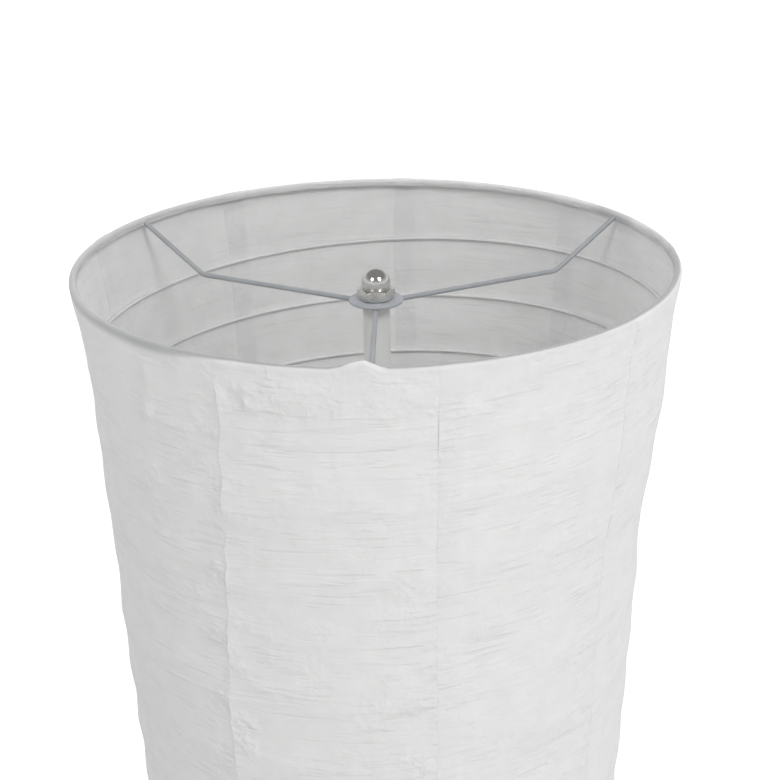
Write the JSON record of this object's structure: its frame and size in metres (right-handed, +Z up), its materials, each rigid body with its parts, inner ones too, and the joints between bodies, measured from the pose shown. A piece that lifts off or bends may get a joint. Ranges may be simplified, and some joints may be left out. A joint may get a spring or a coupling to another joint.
{
  "type": "floor lamp",
  "caption": "Floor lamp: a tall white crepe paper column hung from a wire spider on a slim pole, with a bulb on a bent arm on each side inside.",
  "frame": {"origin": "on the floor, under the middle of the round base, on the axis of the pole", "axes": "+Z up; -Y towards the front, where one wire of the spider points"},
  "size_m": [0.35, 0.3498, 1.25],
  "materials": {
    "paper": "crinkled, matt",
    "zinc_wire": "pale grey coating, satin",
    "nickel": "polished nickel",
    "white_paint": "powder coat, satin",
    "zinc_steel": "zinc plated",
    "holder_plastic": "moulded",
    "holder_ceramic": "unglazed",
    "brass": "rolled sheet",
    "bulb_cap_metal": "rolled thread",
    "bulb_glass": "frosted",
    "cast_iron": "as cast, black",
    "felt": "felt",
    "black_rubber": "moulded",
    "block_plastic": "moulded",
    "lead_sheath": "smooth sheath"
  },
  "bodies": {
    "stand": {"pole_lower": "white_paint", "pole_middle": "white_paint", "pole_upper": "white_paint", "base_cover": "white_paint", "lower_tee": "white_paint", "upper_tee": "white_paint", "lower_socket_arm": "white_paint", "upper_socket_arm": "white_paint", "top_plug": "zinc_steel", "pole_foot_bush": "zinc_steel", "base_nipple": "zinc_steel", "base_washer": "zinc_steel", "base_nut": "zinc_steel", "lower_arm_screw": "zinc_steel", "upper_arm_screw": "zinc_steel", "lower_lock_nut": "zinc_steel", "upper_lock_nut": "zinc_steel", "lower_holder_cap": "holder_plastic", "upper_holder_cap": "holder_plastic", "lower_holder_skirt": "holder_plastic", "upper_holder_skirt": "holder_plastic", "lower_holder_core": "holder_ceramic", "upper_holder_core": "holder_ceramic", "lower_screw_shell": "brass", "upper_screw_shell": "brass", "lower_contact": "brass", "upper_contact": "brass", "base_weight": "cast_iron", "base_pad": "felt", "cord_bushing": "black_rubber", "terminal_block": "block_plastic", "lower_lead": "lead_sheath", "upper_lead": "lead_sheath"},
    "seat": {"seat_washer": "nickel"},
    "shade": {"top_ring": "zinc_wire", "bottom_ring": "zinc_wire", "hoops_upper": "zinc_wire", "hoops_middle": "zinc_wire", "hoops_lower": "zinc_wire", "spider_hub": "zinc_wire", "spider_arm_front": "zinc_wire", "spider_arm_right": "zinc_wire", "spider_arm_left": "zinc_wire", "paper_gore_1": "paper", "paper_gore_2": "paper", "paper_gore_3": "paper", "paper_gore_4": "paper", "paper_gore_5": "paper", "paper_gore_6": "paper", "paper_gore_7": "paper", "paper_gore_8": "paper", "paper_gore_9": "paper"},
    "cap_nut": {"cap_nut": "nickel"},
    "lower_bulb": {"lower_bulb_cap": "bulb_cap_metal", "lower_bulb_glass": "bulb_glass"},
    "upper_bulb": {"upper_bulb_cap": "bulb_cap_metal", "upper_bulb_glass": "bulb_glass"}
  },
  "joints": [
    {"name": "shade_turn", "type": "hinge", "parent": "stand", "child": "seat", "pos_m": [0, 0, 1.2213], "axis": [0, 0, 1], "continuous": true},
    {"name": "shade_lift", "type": "slide", "parent": "seat", "child": "shade", "axis": [0, 0, 1], "range_m": [0, 1.25]},
    {"name": "cap_nut_turn", "type": "hinge", "parent": "shade", "child": "cap_nut", "pos_m": [0, 0, 1.2248], "axis": [0, 0, 1], "continuous": true},
    {"name": "lower_bulb_turn", "type": "hinge", "parent": "stand", "child": "lower_bulb", "pos_m": [-0.05, 0, 0.3733], "axis": [0, 0, 1], "continuous": true},
    {"name": "upper_bulb_turn", "type": "hinge", "parent": "stand", "child": "upper_bulb", "pos_m": [0.05, 0, 0.7733], "axis": [0, 0, 1], "continuous": true}
  ]
}
